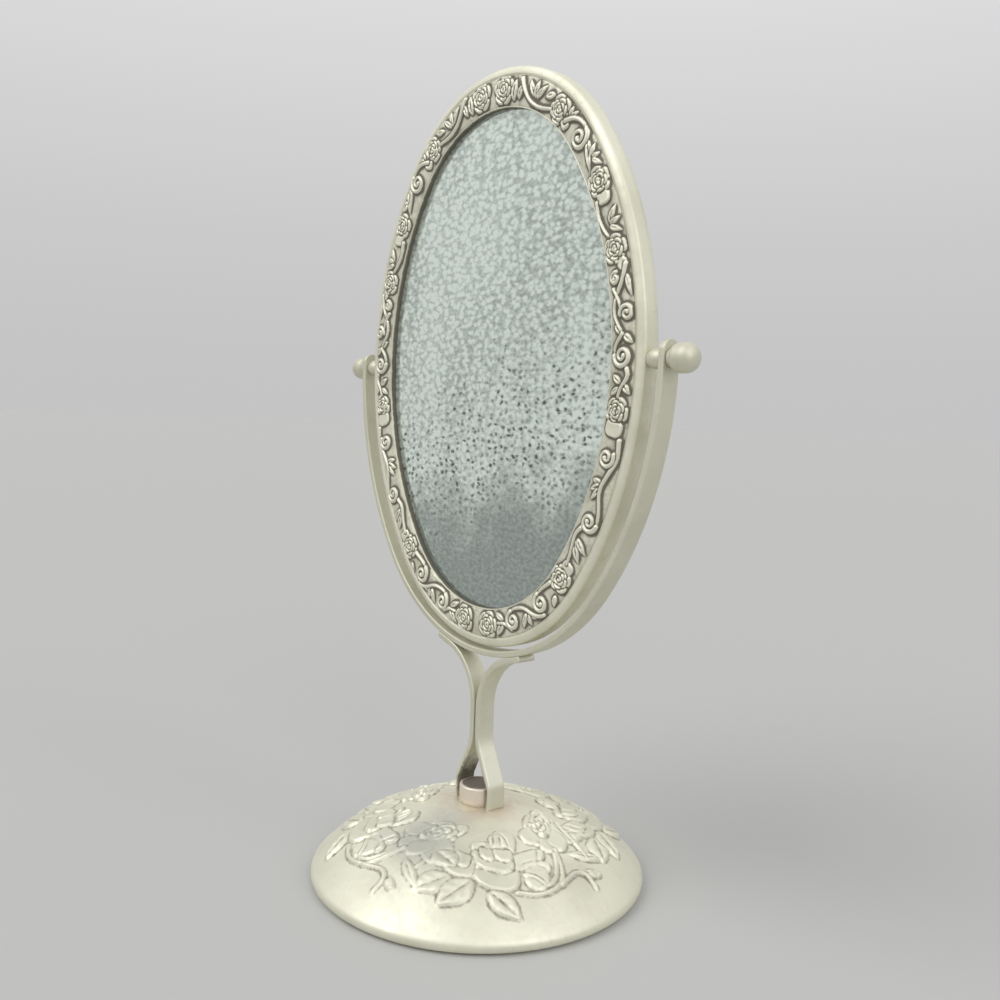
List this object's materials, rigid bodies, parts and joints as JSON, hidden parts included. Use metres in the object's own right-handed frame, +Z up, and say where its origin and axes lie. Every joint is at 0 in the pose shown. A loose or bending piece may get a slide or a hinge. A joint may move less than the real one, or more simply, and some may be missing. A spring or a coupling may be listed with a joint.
{
  "type": "table-top swing mirror",
  "caption": "Oval vanity mirror in a rose-ornamented cast frame, tilting between the arms of a strap yoke on an hourglass stem and a domed round base.",
  "frame": {"origin": "middle of the felt's underside, where the mirror stands on a table", "axes": "+Z up, the glass faces -Y, +X to the right as seen from the front and along the pivot axis"},
  "size_m": [0.1832, 0.12, 0.2837],
  "materials": {
    "plated_cast": "antique silver plate on cast metal, dark patina in the recesses",
    "plated_strap": "satin silver plate, lightly aged",
    "plated_sheet": "satin plated sheet, aged",
    "worn_plate": "silver plate worn through to a copper tint",
    "silvered_glass": "silvered glass",
    "board": "grey-brown backing board",
    "steel": "plain steel",
    "felt": "dark felt"
  },
  "bodies": {
    "stand": {"base_dome": "plated_cast", "base_plate": "steel", "base_felt": "felt", "stem_bolt": "steel", "stem_post": "worn_plate", "stem_strap_right": "plated_strap", "stem_strap_left": "plated_strap", "yoke": "plated_strap"},
    "mirror_head": {"frame_bezel": "plated_cast", "mirror_glass": "silvered_glass", "backing_board": "board", "back_cover": "plated_sheet", "back_screws": "steel", "pivot_stud_right": "steel", "pivot_stud_left": "steel", "pivot_spacer_right": "plated_strap", "pivot_spacer_left": "plated_strap"},
    "right_knob": {"knob_right": "plated_strap"},
    "left_knob": {"knob_left": "plated_strap"}
  },
  "joints": [
    {"name": "mirror_tilt", "type": "hinge", "parent": "stand", "child": "mirror_head", "pos_m": [0, 0, 0.18423], "axis": [1, 0, 0], "continuous": true},
    {"name": "right_knob_turn", "type": "hinge", "parent": "mirror_head", "child": "right_knob", "pos_m": [0.083, 0, 0.18423], "axis": [1, 0, 0], "range_deg": [0, 360]},
    {"name": "left_knob_turn", "type": "hinge", "parent": "mirror_head", "child": "left_knob", "pos_m": [-0.083, 0, 0.18423], "axis": [-1, 0, 0], "range_deg": [0, 360]}
  ]
}
